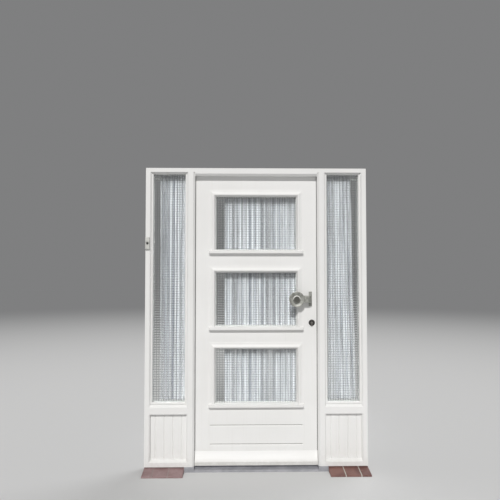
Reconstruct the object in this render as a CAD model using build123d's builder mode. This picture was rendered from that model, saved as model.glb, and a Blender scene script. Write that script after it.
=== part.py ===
from build123d import *
import math
import os

# A panelled front door in its timber frame. The leaf opens inwards on three butt hinges, and a
# glazed bay with a boarded foot stands on each side of it.
# X runs to the right seen from outside, Y into the house and Z up. The outer face of the frame
# is Y = 0, and the origin is at the middle of the threshold, on its underside.

# Door leaf, a standard size
leaf_width = 880.0
leaf_height = 2015.0
leaf_thickness = 40.0
side_gap = 3.0
top_gap = 3.0
bottom_gap = 4.0

# Timber frame
frame_depth = 90.0
stop_overlap = 13.0
head_stop_overlap = 15.0
seal_gap = 3.5
seal_clearance = 0.3
mullion_width = 54.0
bay_width = 248.0
jamb_width = 38.0
head_face = 28.0
head_rise = 35.0
door_chamfer = 12.0
bay_chamfer = 8.0
tenon_width = 30.0
tenon_thickness = 14.0
tenon_length = 18.0
tenon_setback = 18.0

# Glazing of the bays
bay_rebate = 36.0
glass_thickness = 6.0
glass_clearance = 3.0
shoulder = 13.0
bead_depth = 16.0
bead_bevel = 5.0
bottom_bead_height = 16.0
bead_quirk_height = 3.5
bead_quirk_depth = 4.0
mitre_gap = 0.2

# Rails of the bays
bottom_rail_face = 30.0
bottom_rail_slope = 14.0
boards_height = 312.0
transom_face = 46.0
transom_slope = 16.0

# Boarded foot panels
boards_thickness = 10.0
board_pitch = 60.0
board_groove_width = 9.0
board_groove_depth = 5.0

# Threshold, plinth blocks and clay tiles
step_height = 32.0
threshold_front = -10.0
threshold_edge = 12.0
threshold_fall = 2.0
threshold_setback = 10.0
threshold_nose = 5.0
threshold_joint = 0.3
tile_pitch = 105.0
tile_joint = 7.0
tile_front = -105.0
tile_nose_height = 11.0
tile_top_height = 24.0
tile_seat_start = 8.0
tile_seat_setback = 12.0
tile_nose_radius = 5.0
joint_recess = 1.5

# Panes of the leaf
pane_foot = 416.0
pane_spacing = 163.0
pane_head = 160.0
pane_stile = 158.0
moulding_tongue = 10.0
moulding_width = 48.0
moulding_rise = 14.0
moulding_bevel = 12.0
moulding_edge = 4.5
moulding_land = 3.0
moulding_crest = 10.0
moulding_crest_fall = 1.0
moulding_crown = 1.4
moulding_swell = 0.5
moulding_hollow = 2.0
moulding_fillet = 5.0
glass_setback = 12.0
sill_projection = 28.0
sill_fall = 10.0
sill_nose = 16.0
sill_end_chamfer = 7.0
sill_overhang = 1.0
drip_radius = 2.0
drip_setback = 8.0
inner_bead_width = 12.0
inner_bead_bevel = 6.0

# Grooves and weather bar at the foot of the leaf
leaf_groove_count = 2
leaf_groove_margin = 117.0
leaf_groove_width = 13.0
leaf_groove_depth = 6.0
lower_groove_rise = 131.0
groove_pitch = 130.0
weather_bar_height = 86.0
weather_bar_projection = 38.0
weather_bar_nose = 25.0
weather_bar_lip = 2.0
weather_bar_undercut = 3.0
weather_bar_round = 1.0
weather_bar_hollow = 4.4
weather_bar_drop = 0.5
weather_bar_clearance = 3.0

# Rubber seal in the stop
seal_width = 8.0
seal_inset = 2.0
seal_lip = 2.5

# Butt hinges
hinge_foot = 214.0
hinge_head = 211.0
hinge_length = 89.0
hinge_plate_width = 30.0
hinge_plate_thickness = 2.0
hinge_recess = 1.5
knuckle_radius = 6.0
knuckle_count = 5
knuckle_gap = 0.3
knuckle_clearance = 0.5
pin_radius = 3.0
pin_clearance = 0.06
pin_head_radius = 5.0
pin_head_height = 3.0

# Mortise lock
lock_backset = 50.0
lock_height = 1007.0
follower_rise = 92.0
lock_case_depth = 84.0
lock_case_thickness = 14.0
lock_case_below = 62.0
lock_case_above = 44.0
face_plate_width = 20.0
face_plate_thickness = 3.0
face_plate_length = 235.0
mortise_clearance = 0.5
bolt_thickness = 10.0
bolt_length = 34.0
bolt_clearance = 0.3
dead_bolt_height = 36.0
dead_bolt_rise = -32.0
dead_bolt_throw = 20.0
latch_height = 20.0
latch_rise = 48.0
latch_bevel = 8.0
strike_thickness = 2.0
strike_width = 24.0
strike_length = 180.0
strike_slot_clearance = 2.0
strike_pocket_clearance = 7.0

# Cylinder, roses and thumb turn
cylinder_radius = 8.5
cylinder_web = 10.0
cylinder_drop = 24.5
cylinder_clearance = 0.3
cylinder_slot = 2.6
cylinder_slot_depth = 2.0
rose_radius = 21.5
rose_height = 9.0
rose_rim = 3.5
turn_radius = 15.0
turn_length = 18.0
turn_collar_radius = 7.0
turn_stem_length = 6.0
turn_corner_radius = 5.0
turn_grip_thickness = 9.0

# Lever and its long plate on the inside
plate_width = 40.0
plate_height = 232.0
plate_thickness = 7.0
spindle_size = 8.0
spindle_hole_radius = 7.5
spindle_length = 24.0
lever_radius = 9.0
lever_standoff = 37.0
lever_length = 122.0
lever_bend = 15.0
lever_clearance = 0.3

# Fixed pull knob on the outside
knob_plate_width = 22.0
knob_plate_height = 100.0
knob_plate_edge = 4.0
knob_plate_swell = 0.7
knob_plate_thickness = 9.0
knob_plate_inset = 59.5
knob_plate_rise = 167.0
knob_reach = 102.0
knob_rise = 0.0
knob_standoff = 52.0
knob_radius = 54.0
knob_thickness = 22.0
knob_rim_width = 5.0
knob_rim_back = 9.0
knob_rim_front = 18.0
knob_dish_depth = 9.0
knob_dish_hollow = 1.5
knob_boss_foot = 27.0
knob_boss_top = 22.0
knob_boss_round = 1.6
knob_hub_radius = 21.0
arm_thickness = 14.0
arm_height = 50.0
arm_bend = 20.0
arm_edge_radius = 5.0
knob_screw_radius = 3.5
knob_screw_head = 1.5
knob_screw_slot = 1.0
knob_screw_offset = 36.0

# Bell push on the left jamb
bell_width = 30.0
bell_height = 84.0
bell_depth = 16.0
bell_z = 1561.0
bell_edge = 4.0
bell_button_round = 1.5
bell_button_radius = 8.0
bell_button_length = 8.0
bell_button_travel = 2.5
bell_button_clearance = 0.35
bell_well_radius = 12.0
bell_well_depth = 3.0
bell_hole_clearance = 1.0

# Net curtains on rods
curtain_thickness = 2.0
curtain_fold = 7.0
curtain_wave = 37.0
curtain_steps = 6
curtain_slack = 0.28
curtain_beats = 2.65
rod_radius = 4.0
soft_clearance = 0.3
bay_rod_setback = 18.0
bay_rod_drop = 22.0
bay_curtain_floor = 6.0
bay_curtain_width = 178.0
bay_curtain_gap = 1.3
leaf_rod_standoff = 13.0
leaf_rod_drop = 121.0
leaf_curtain_gap = 57.0
leaf_curtain_overlap = 18.0
leaf_curtain_drop = 20.0
rod_overhang = 22.0
bracket_radius = 7.0
bracket_lip = 1.0

# Fixing holes through the jambs
fixing_radius = 5.0
fixing_setback = 40.0
fixing_foot = 560.0
fixing_head = 146.0
fixing_count = 4

# How far a cutting shape runs past the face that it cuts
cut_past = 1.0

# Worked out from the sizes above
leaf_half = leaf_width / 2
leaf_back = frame_depth
leaf_front = leaf_back - leaf_thickness
stop_depth = leaf_front - seal_gap
leaf_bottom = step_height + bottom_gap
leaf_top = leaf_bottom + leaf_height
rebate_half = leaf_half + side_gap
stop_half = leaf_half - stop_overlap
bay_inner = stop_half + mullion_width
bay_outer = bay_inner + bay_width
frame_half = bay_outer + jamb_width
door_rebate_top = leaf_top + top_gap
door_head = leaf_top - head_stop_overlap
frame_top = leaf_top + head_rise
bay_head = frame_top - head_face
bay_sight_head = bay_head - shoulder
bay_sight_inner = bay_inner + shoulder
bay_sight_outer = bay_outer - shoulder
boards_bottom = step_height + bottom_rail_face + bottom_rail_slope
boards_top = boards_bottom + boards_height
transom_top = boards_top + transom_face + transom_slope
bay_sight_bottom = transom_top + shoulder
bead_front = bay_rebate - glass_thickness - bead_depth
boards_front = bay_rebate - boards_thickness
bay_glass_front = bay_rebate - glass_thickness
bay_middle = (bay_inner + bay_outer) / 2
pane_half = leaf_half - pane_stile
first_pane_bottom = leaf_bottom + pane_foot
panes_height = leaf_top - pane_head - first_pane_bottom
pane_opening_half = pane_half + moulding_tongue
pane_glass_front = leaf_front + glass_setback
pane_glass_back = pane_glass_front + glass_thickness
hinge_x = -(leaf_half + rebate_half) / 2
hinge_y = leaf_back + knuckle_radius + knuckle_clearance
hinge_low = leaf_bottom + hinge_foot
hinge_high = leaf_top - hinge_head
hinge_heights = (hinge_low, (hinge_low + hinge_high) / 2, hinge_high)
lock_x = leaf_half - lock_backset
lock_y = leaf_front + leaf_thickness / 2
follower_height = lock_height + follower_rise
sides = (("left", -1), ("right", 1))
pane_names = ("lower", "middle", "upper")
pane_sight_height = (panes_height + pane_spacing) / len(pane_names) - pane_spacing
pane_pitch = pane_sight_height + pane_spacing

os.makedirs("parts", exist_ok=True)


def outline(*points, mode=Mode.ADD):
    """Draws a closed, straight-sided outline in the sketch that is open."""
    Polygon(*points, align=None, mode=mode)


def block(low, high, mode=Mode.ADD):
    """Adds or cuts a box from its two opposite corners, given in any order."""
    centre = [(a + b) / 2 for a, b in zip(low, high)]
    size = [abs(b - a) for a, b in zip(low, high)]
    with Locations(tuple(centre)):
        Box(*size, mode=mode)


def save(piece, name):
    """Names a finished piece and writes it."""
    piece.part.label = name
    export_step(piece.part, f"parts/{name}.step")


def lying_plane(x):
    """A plane across the frame at x, whose sketch axes are Y and Z."""
    return Plane(origin=(x, 0, 0), x_dir=(0, 1, 0), z_dir=(1, 0, 0))


def facing_plane(y):
    """A plane parallel to the frame's face at y, whose sketch axes are X and Z."""
    return Plane(origin=(0, y, 0), x_dir=(1, 0, 0), z_dir=(0, -1, 0))


def fixing_holes(side):
    """Cuts the holes for the frame's fixing screws through a jamb."""
    pitch = (frame_top - fixing_head - fixing_foot) / (fixing_count - 1)
    for number in range(fixing_count):
        with BuildSketch(lying_plane(side * (bay_sight_outer - cut_past))) as hole:
            with Locations((frame_depth - fixing_setback, fixing_foot + number * pitch)):
                Circle(fixing_radius)
        extrude(hole.sketch, amount=side * (frame_half - bay_sight_outer + 2 * cut_past),
                mode=Mode.SUBTRACT)


def tenon(side_x, mode=Mode.ADD):
    """The stub tenon on top of a post, or its mortise in the head."""
    block(
        (side_x - tenon_width / 2, frame_depth - tenon_setback - tenon_thickness, bay_head),
        (side_x + tenon_width / 2, frame_depth - tenon_setback, bay_head + tenon_length),
        mode,
    )


jamb_tenon_x = frame_half - (jamb_width + shoulder) / 2
mullion_tenon_x = (rebate_half + bay_sight_inner) / 2

# Jambs: the outer posts, rebated for the bay's glass and boards and drilled for the wall screws
for side, s in sides:
    with BuildPart() as jamb:
        with BuildSketch(Plane.XY.offset(step_height)):
            outline(
                (s * frame_half, 0),
                (s * (bay_outer + bay_chamfer), 0),
                (s * bay_outer, bay_chamfer),
                (s * bay_outer, bay_rebate),
                (s * bay_sight_outer, bay_rebate),
                (s * bay_sight_outer, frame_depth),
                (s * frame_half, frame_depth),
            )
        extrude(amount=bay_head - step_height)
        tenon(s * jamb_tenon_x)
        fixing_holes(s)
    save(jamb, f"jamb_{side}")


def strike_cuts():
    """Cuts the seat of the strike plate and the pockets of the two bolts in a mullion."""
    plate_middle = lock_height + (latch_rise + dead_bolt_rise) / 2
    block(
        (rebate_half - cut_past, lock_y - strike_width / 2, plate_middle - strike_length / 2),
        (rebate_half + strike_thickness, lock_y + strike_width / 2, plate_middle + strike_length / 2),
        Mode.SUBTRACT,
    )
    for rise, height in ((latch_rise, latch_height), (dead_bolt_rise, dead_bolt_height)):
        bolt_slot(rebate_half, leaf_half + dead_bolt_throw + strike_pocket_clearance, rise, height)


def bolt_slot(x_start, x_end, rise, height, clearance=strike_slot_clearance):
    """Cuts the hole that a bolt enters, with clearance all round."""
    half_y = bolt_thickness / 2 + clearance
    half_z = height / 2 + clearance
    block(
        (x_start, lock_y - half_y, lock_height + rise - half_z),
        (x_end, lock_y + half_y, lock_height + rise + half_z),
        Mode.SUBTRACT,
    )


def hinge_seats(x_start, x_end):
    """Cuts the shallow seats of the hinge plates, open towards the room."""
    for height in hinge_heights:
        block(
            (x_start, leaf_back - hinge_plate_width, height - hinge_length / 2),
            (x_end, leaf_back + cut_past, height + hinge_length / 2),
            Mode.SUBTRACT,
        )


# Mullions: the posts between the doorway and the bays, with the door's stop and rebate
for side, s in sides:
    with BuildPart() as mullion:
        with BuildSketch(Plane.XY.offset(step_height)):
            outline(
                (s * (bay_inner - bay_chamfer), 0),
                (s * bay_inner, bay_chamfer),
                (s * bay_inner, bay_rebate),
                (s * bay_sight_inner, bay_rebate),
                (s * bay_sight_inner, frame_depth),
                (s * rebate_half, frame_depth),
                (s * rebate_half, stop_depth),
                (s * stop_half, stop_depth),
                (s * stop_half, door_chamfer),
                (s * (stop_half + door_chamfer), 0),
            )
        extrude(amount=bay_head - step_height)
        tenon(s * mullion_tenon_x)
        if side == "left":
            hinge_seats(-rebate_half - hinge_recess, -rebate_half + cut_past)
        else:
            strike_cuts()
    save(mullion, f"mullion_{side}")

# Head: one rail across the posts, lower over the doorway, where it forms the top stop
with BuildPart() as head_rail:
    block((-frame_half, 0, bay_head), (frame_half, frame_depth, frame_top))
    with BuildSketch(lying_plane(-stop_half)):
        outline(
            (door_chamfer, door_head),
            (stop_depth, door_head),
            (stop_depth, bay_head),
            (0, bay_head),
            (0, door_head + door_chamfer),
        )
    extrude(amount=2 * stop_half)
    block((-rebate_half, stop_depth, door_rebate_top), (rebate_half, frame_depth, bay_head))
    for side, s in sides:
        block(
            (s * bay_sight_inner, bay_rebate, bay_sight_head),
            (s * bay_sight_outer, frame_depth, bay_head),
        )
        tenon(s * jamb_tenon_x, Mode.SUBTRACT)
        tenon(s * mullion_tenon_x, Mode.SUBTRACT)
save(head_rail, "head_rail")


def rail(s, low, face_top, slope_top, slope_depth, back_low, back_high):
    """A rail between jamb and mullion, scribed over their chamfers, with a sloping front edge."""
    with BuildSketch(Plane.XY.offset(low)) as plan:
        outline(
            (s * (bay_inner - bay_chamfer), 0),
            (s * bay_inner, bay_chamfer),
            (s * bay_inner, bay_rebate),
            (s * bay_outer, bay_rebate),
            (s * bay_outer, bay_chamfer),
            (s * (bay_outer + bay_chamfer), 0),
        )
    extrude(plan.sketch, amount=slope_top - low)
    with BuildSketch(lying_plane(s * (bay_inner - 2 * bay_chamfer))) as slope:
        outline(
            (-cut_past, face_top),
            (0, face_top),
            (slope_depth, slope_top),
            (slope_depth, slope_top + cut_past),
            (-cut_past, slope_top + cut_past),
        )
    extrude(slope.sketch, amount=s * (bay_width + 4 * bay_chamfer), mode=Mode.SUBTRACT)
    block((s * bay_sight_inner, bay_rebate, back_low), (s * bay_sight_outer, frame_depth, back_high))


for side, s in sides:
    # Bottom rail, on which the boards stand
    with BuildPart() as bottom_rail:
        rail(s, step_height, step_height + bottom_rail_face, boards_bottom, boards_front,
             step_height, boards_bottom + shoulder)
    save(bottom_rail, f"bottom_rail_{side}")

    # Transom between the boards and the glass
    with BuildPart() as transom:
        rail(s, boards_top, boards_top + transom_face, transom_top, bead_front,
             boards_top - shoulder, bay_sight_bottom)
    save(transom, f"transom_{side}")

    # Boarding: a tongued panel whose joints show as narrow V-grooves
    with BuildPart() as boarding:
        block((s * bay_inner, boards_front, boards_bottom), (s * bay_outer, bay_rebate, boards_top))
        groove_count = int(bay_width // board_pitch)
        first_groove = bay_middle - (groove_count - 1) / 2 * board_pitch
        for number in range(groove_count):
            groove_x = s * (first_groove + number * board_pitch)
            with BuildSketch(Plane.XY.offset(boards_bottom)):
                outline(
                    (groove_x - board_groove_width / 2, boards_front),
                    (groove_x, boards_front + board_groove_depth),
                    (groove_x + board_groove_width / 2, boards_front),
                    (groove_x, boards_front - cut_past),
                )
            extrude(amount=boards_height, mode=Mode.SUBTRACT)
    save(boarding, f"boarding_{side}")

    # Patterned glass of the bay
    with BuildPart() as side_glass:
        block(
            (s * (bay_inner + glass_clearance), bay_glass_front, transom_top + glass_clearance),
            (s * (bay_outer - glass_clearance), bay_rebate, bay_head - glass_clearance),
        )
    save(side_glass, f"side_glass_{side}")


def bead_ring(centre_x, y_start, depth, low, high, half, widths, bevel, bevel_at_start):
    """Four mitred glazing beads round a pane, bevelled towards the glass they hold."""
    side_width, top_width, bottom_width = widths
    inner_low = low + bottom_width
    inner_high = high - top_width
    inner_half = half - side_width
    outer_middle = (low + high) / 2
    inner_middle = (inner_low + inner_high) / 2
    with BuildSketch(facing_plane(y_start)) as ring:
        with Locations((centre_x, outer_middle)):
            Rectangle(2 * half, high - low)
        with Locations((centre_x, inner_middle)):
            Rectangle(2 * inner_half, inner_high - inner_low, mode=Mode.SUBTRACT)
        for sx in (-1, 1):
            for corner_z, inner_z in ((low, inner_low), (high, inner_high)):
                corner = Vector(centre_x + sx * half, corner_z)
                inner = Vector(centre_x + sx * inner_half, inner_z)
                along = (inner - corner).normalized()
                across = Vector(-along.Y, along.X) * (mitre_gap / 2)
                start = corner - along * cut_past
                end = inner + along * cut_past
                outline(start - across, end - across, end + across, start + across, mode=Mode.SUBTRACT)
    extrude(ring.sketch, amount=-depth)
    bevel_y = y_start if bevel_at_start else y_start + depth
    with BuildSketch(facing_plane(bevel_y)) as wide_mouth:
        with Locations((centre_x, inner_middle)):
            Rectangle(2 * (inner_half + bevel), inner_high - inner_low + 2 * bevel)
    extrude(wide_mouth.sketch, amount=-bevel if bevel_at_start else bevel, taper=45, mode=Mode.SUBTRACT)


# Outer beads of the bays, with a narrow groove along the foot
for side, s in sides:
    with BuildPart() as side_beads:
        bead_ring(
            s * bay_middle, bead_front, bead_depth, transom_top, bay_head, bay_width / 2,
            (shoulder, shoulder, bottom_bead_height), bead_bevel, True,
        )
        block(
            (s * bay_inner, bead_front - cut_past, transom_top - cut_past),
            (s * bay_outer, bead_front + bead_quirk_depth, transom_top + bead_quirk_height),
            Mode.SUBTRACT,
        )
    save(side_beads, f"side_beads_{side}")

# Threshold: a stone step between the mullions, with a low tread that falls to a rounded front
# edge and an upstand under the weather bar
threshold_half = stop_half - threshold_joint
with BuildPart() as threshold:
    with BuildSketch(lying_plane(-threshold_half)):
        with BuildLine():
            upstand_face = leaf_front - threshold_setback
            Polyline(
                (threshold_front, threshold_edge - threshold_nose),
                (threshold_front, 0),
                (frame_depth, 0),
                (frame_depth, step_height),
                (upstand_face, step_height),
                (upstand_face, threshold_edge + threshold_fall),
                (threshold_front + threshold_nose, threshold_edge),
            )
            RadiusArc((threshold_front + threshold_nose, threshold_edge),
                      (threshold_front, threshold_edge - threshold_nose), -threshold_nose)
        make_face()
    extrude(amount=2 * threshold_half)
save(threshold, "threshold")

# Plinth blocks: stone feet under the mullions
for side, s in sides:
    with BuildPart() as plinth_block:
        block(
            (s * stop_half, threshold_front, 0),
            (s * (bay_sight_inner - threshold_joint), frame_depth, step_height),
        )
        front_edges = plinth_block.edges().filter_by(Axis.X).group_by(Axis.Y)[0]
        fillet(front_edges.sort_by(Axis.Z)[-1:], radius=threshold_nose)
    save(plinth_block, f"plinth_block_{side}")


def tile_outline(recess=0.0):
    """The section of a clay sill tile: a rounded nose, a fall to the front and a raised seat."""
    nose = tile_front + recess
    height = tile_nose_height - recess
    tile_back = frame_depth - tile_seat_setback
    with BuildLine() as section:
        Polyline(
            (nose, height - tile_nose_radius),
            (nose, 0),
            (tile_back, 0),
            (tile_back, step_height - recess),
            (tile_seat_start + tile_nose_radius, step_height - recess),
            (tile_seat_start, tile_top_height - recess),
            (nose + tile_nose_radius, height),
        )
        RadiusArc((nose + tile_nose_radius, height), (nose, height - tile_nose_radius),
                  -tile_nose_radius)
    make_face(section.edges())


# Clay tiles under the bays, whole ones next to the plinth and one cut to fit at the wall
tile_run_start = bay_sight_inner
for side, s in sides:
    tile_run = frame_half - tile_run_start
    tile_count = math.ceil(tile_run / tile_pitch)
    with BuildPart() as sill_tiles:
        for number in range(tile_count):
            start = tile_run_start + number * tile_pitch
            end = min(start + tile_pitch - tile_joint, frame_half)
            with BuildSketch(lying_plane(s * start)):
                tile_outline()
            extrude(amount=s * (end - start))
    save(sill_tiles, f"sill_tiles_{side}")

    with BuildPart() as tile_joints:
        for number in range(tile_count - 1):
            start = tile_run_start + (number + 1) * tile_pitch - tile_joint
            with BuildSketch(lying_plane(s * start)):
                tile_outline(joint_recess)
            extrude(amount=s * tile_joint)
    save(tile_joints, f"tile_joints_{side}")

# Rubber seal round the stop, just clear of the leaf, with a lip that shows beside the leaf above
# the weather bar
with BuildPart() as door_seal:
    seal_outer = stop_half + seal_inset + seal_width
    seal_inner = stop_half + seal_inset
    seal_top = door_head + seal_inset + seal_width
    with BuildSketch(facing_plane(stop_depth)):
        outline(
            (-seal_outer, leaf_bottom),
            (-seal_outer, seal_top),
            (seal_outer, seal_top),
            (seal_outer, leaf_bottom),
            (seal_inner, leaf_bottom),
            (seal_inner, seal_top - seal_width),
            (-seal_inner, seal_top - seal_width),
            (-seal_inner, leaf_bottom),
        )
    extrude(amount=-(leaf_front - stop_depth - seal_clearance))
    lip_foot = leaf_bottom - weather_bar_drop + weather_bar_height + weather_bar_clearance
    for sign in (-1, 1):
        block(
            (sign * (stop_half - seal_lip), stop_depth, lip_foot),
            (sign * seal_inner, leaf_front - seal_clearance, door_head),
        )
save(door_seal, "door_seal")


def knuckle_spans(height, of_frame):
    """Bottom and top of each knuckle of one hinge that belongs to the frame or to the leaf."""
    pitch = hinge_length / knuckle_count
    bottom = height - hinge_length / 2
    start = 0 if of_frame else 1
    return [
        (bottom + number * pitch + knuckle_gap / 2, bottom + (number + 1) * pitch - knuckle_gap / 2)
        for number in range(start, knuckle_count, 2)
    ]


def knuckle(low, high, radius, mode):
    """A round length of the hinge's barrel."""
    with BuildSketch(Plane.XY.offset(low)) as barrel:
        with Locations((hinge_x, hinge_y)):
            Circle(radius)
    extrude(barrel.sketch, amount=high - low, mode=mode)


def hinge_leaves(plate_x, of_frame):
    """The plates of the three hinges on one side of the gap, with their knuckles."""
    for height in hinge_heights:
        block(
            (plate_x, leaf_back - hinge_plate_width, height - hinge_length / 2),
            (plate_x + hinge_plate_thickness, hinge_y, height + hinge_length / 2),
        )
        for low, high in knuckle_spans(height, not of_frame):
            block(
                (plate_x, hinge_y - knuckle_radius - knuckle_clearance / 2, low - knuckle_gap),
                (plate_x + hinge_plate_thickness, hinge_y, high + knuckle_gap),
                Mode.SUBTRACT,
            )
        for low, high in knuckle_spans(height, of_frame):
            knuckle(low, high, knuckle_radius, Mode.ADD)
        knuckle(height - hinge_length, height + hinge_length, pin_radius + pin_clearance, Mode.SUBTRACT)


with BuildPart() as hinge_plates_frame:
    hinge_leaves(-rebate_half - hinge_recess, True)
save(hinge_plates_frame, "hinge_plates_frame")

with BuildPart() as hinge_plates_leaf:
    hinge_leaves(-leaf_half + hinge_recess - hinge_plate_thickness, False)
save(hinge_plates_leaf, "hinge_plates_leaf")

with BuildPart() as hinge_pins:
    for height in hinge_heights:
        pin_top = height + hinge_length / 2
        knuckle(height - hinge_length / 2, pin_top, pin_radius, Mode.ADD)
        knuckle(pin_top, pin_top + pin_head_height, pin_head_radius, Mode.ADD)
save(hinge_pins, "hinge_pins")

# Strike plate in the rebate of the right mullion
with BuildPart() as strike_plate:
    plate_middle = lock_height + (latch_rise + dead_bolt_rise) / 2
    block(
        (rebate_half, lock_y - strike_width / 2, plate_middle - strike_length / 2),
        (rebate_half + strike_thickness, lock_y + strike_width / 2, plate_middle + strike_length / 2),
    )
    for rise, height in ((latch_rise, latch_height), (dead_bolt_rise, dead_bolt_height)):
        bolt_slot(rebate_half - cut_past, rebate_half + strike_thickness + cut_past, rise, height)
save(strike_plate, "strike_plate")


def pane_limits(number):
    """Bottom and top of the visible glass of one pane of the leaf."""
    bottom = first_pane_bottom + number * pane_pitch
    return bottom, bottom + pane_sight_height


def cylinder_shape(grow):
    """The section of the lock cylinder: a round barrel with a narrower web below it."""
    with Locations((lock_x, lock_height)):
        Circle(cylinder_radius + grow)
    with Locations((lock_x, lock_height - cylinder_drop / 2)):
        Rectangle(cylinder_web + 2 * grow, cylinder_drop + 2 * grow)


def cylinder_hole(y_start, y_end):
    """Cuts the cylinder's hole from one depth to another."""
    with BuildSketch(facing_plane(y_start)) as hole:
        cylinder_shape(cylinder_clearance)
    extrude(hole.sketch, amount=-(y_end - y_start), mode=Mode.SUBTRACT)


def spindle_hole(y_start, y_end):
    """Cuts the spindle's hole from one depth to another."""
    with BuildSketch(facing_plane(y_start)) as hole:
        with Locations((lock_x, follower_height)):
            Circle(spindle_hole_radius)
    extrude(hole.sketch, amount=-(y_end - y_start), mode=Mode.SUBTRACT)


# Leaf: a solid slab with three glazed openings, two stopped grooves and the lock's mortise
with BuildPart() as leaf_slab:
    block((-leaf_half, leaf_front, leaf_bottom), (leaf_half, leaf_back, leaf_top))
    for number in range(len(pane_names)):
        pane_low, pane_high = pane_limits(number)
        block(
            (-pane_opening_half, leaf_front - cut_past, pane_low - moulding_tongue),
            (pane_opening_half, leaf_back + cut_past, pane_high + moulding_tongue),
            Mode.SUBTRACT,
        )
    for number in range(leaf_groove_count):
        groove_z = leaf_bottom + lower_groove_rise + number * groove_pitch
        with BuildSketch(lying_plane(leaf_groove_margin - leaf_half)):
            outline(
                (leaf_front - cut_past, groove_z),
                (leaf_front, groove_z - leaf_groove_width / 2),
                (leaf_front + leaf_groove_depth, groove_z),
                (leaf_front, groove_z + leaf_groove_width / 2),
            )
        extrude(amount=leaf_width - 2 * leaf_groove_margin, mode=Mode.SUBTRACT)
    hinge_seats(-leaf_half - cut_past, -leaf_half + hinge_recess)
    case_low = lock_height - lock_case_below
    case_high = follower_height + lock_case_above
    block(
        (leaf_half - lock_case_depth - mortise_clearance, lock_y - lock_case_thickness / 2 - mortise_clearance,
         case_low - mortise_clearance),
        (leaf_half + cut_past, lock_y + lock_case_thickness / 2 + mortise_clearance,
         case_high + mortise_clearance),
        Mode.SUBTRACT,
    )
    face_middle = (case_low + case_high) / 2
    block(
        (leaf_half - face_plate_thickness, lock_y - face_plate_width / 2, face_middle - face_plate_length / 2),
        (leaf_half + cut_past, lock_y + face_plate_width / 2, face_middle + face_plate_length / 2),
        Mode.SUBTRACT,
    )
    cylinder_hole(leaf_front - cut_past, leaf_back + cut_past)
    spindle_hole(lock_y, leaf_back + cut_past)
save(leaf_slab, "leaf_slab")

# Lock: a slim case behind a face plate that closes its mortise
with BuildPart() as mortise_lock:
    block(
        (leaf_half - lock_case_depth, lock_y - lock_case_thickness / 2, case_low),
        (leaf_half, lock_y + lock_case_thickness / 2, case_high),
    )
    block(
        (leaf_half - face_plate_thickness, lock_y - face_plate_width / 2, face_middle - face_plate_length / 2),
        (leaf_half, lock_y + face_plate_width / 2, face_middle + face_plate_length / 2),
    )
    for rise, height in ((latch_rise, latch_height), (dead_bolt_rise, dead_bolt_height)):
        bolt_slot(leaf_half - bolt_length - cut_past, leaf_half + cut_past, rise, height, bolt_clearance)
    cylinder_hole(leaf_front, leaf_back)
    spindle_hole(leaf_front, leaf_back)
save(mortise_lock, "mortise_lock")


def bolt(rise, height):
    """A square bolt, drawn back until its end is flush with the face plate."""
    block(
        (leaf_half - bolt_length, lock_y - bolt_thickness / 2, lock_height + rise - height / 2),
        (leaf_half, lock_y + bolt_thickness / 2, lock_height + rise + height / 2),
    )


# Dead bolt, thrown by the thumb turn
with BuildPart() as dead_bolt:
    bolt(dead_bolt_rise, dead_bolt_height)
save(dead_bolt, "dead_bolt")

# Latch bolt, bevelled on the side that meets the strike first as the door closes
with BuildPart() as latch_bolt:
    bolt(latch_rise, latch_height)
    leading_edge = latch_bolt.edges().filter_by(Axis.Z).group_by(Axis.X)[-1].sort_by(Axis.Y)[:1]
    chamfer(leading_edge, length=latch_bevel, length2=latch_bevel)
save(latch_bolt, "latch_bolt")

# Lock cylinder through the leaf, with a key slot outside
inner_plate_face = leaf_back + plate_thickness
with BuildPart() as lock_cylinder:
    with BuildSketch(facing_plane(leaf_front - rose_height + rose_rim)):
        cylinder_shape(0)
    extrude(amount=-(inner_plate_face - leaf_front + rose_height - rose_rim))
    with BuildSketch(facing_plane(leaf_front - rose_height + rose_rim)):
        with Locations((lock_x, lock_height)):
            Rectangle(cylinder_slot, cylinder_radius)
    extrude(amount=-cylinder_slot_depth, mode=Mode.SUBTRACT)
save(lock_cylinder, "lock_cylinder")

# Outer rose: a thick, rounded ring round the cylinder
with BuildPart() as lock_rose:
    with BuildSketch(lying_plane(lock_x)):
        with BuildLine():
            rose_front = leaf_front - rose_height
            Polyline(
                (leaf_front, lock_height),
                (leaf_front, lock_height + rose_radius),
                (leaf_front - rose_rim, lock_height + rose_radius),
            )
            RadiusArc(
                (leaf_front - rose_rim, lock_height + rose_radius),
                (rose_front, lock_height + rose_radius - rose_height + rose_rim),
                rose_height - rose_rim,
            )
            Polyline(
                (rose_front, lock_height + rose_radius - rose_height + rose_rim),
                (rose_front, lock_height),
                (leaf_front, lock_height),
            )
        make_face()
    revolve(axis=Axis((lock_x, 0, lock_height), (0, 1, 0)))
    with BuildSketch(facing_plane(leaf_front - rose_height)):
        with Locations((lock_x, lock_height)):
            Circle(rose_radius - rose_height)
    extrude(amount=-rose_rim, mode=Mode.SUBTRACT)
    with BuildSketch(facing_plane(leaf_front - rose_height)):
        cylinder_shape(cylinder_clearance)
    extrude(amount=-rose_height, mode=Mode.SUBTRACT)
save(lock_rose, "lock_rose")


# Thumb turn: a round collar that carries a flat, rounded grip
with BuildPart() as thumb_turn:
    with BuildSketch(facing_plane(inner_plate_face + lever_clearance)):
        with Locations((lock_x, lock_height)):
            Circle(turn_collar_radius)
    extrude(amount=-turn_stem_length)
    with BuildSketch(Plane.YZ.offset(lock_x - turn_grip_thickness / 2)):
        with Locations((inner_plate_face + turn_stem_length + turn_length / 2, lock_height)):
            RectangleRounded(turn_length, 2 * turn_radius, turn_corner_radius)
    extrude(amount=turn_grip_thickness)
save(thumb_turn, "thumb_turn")

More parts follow.
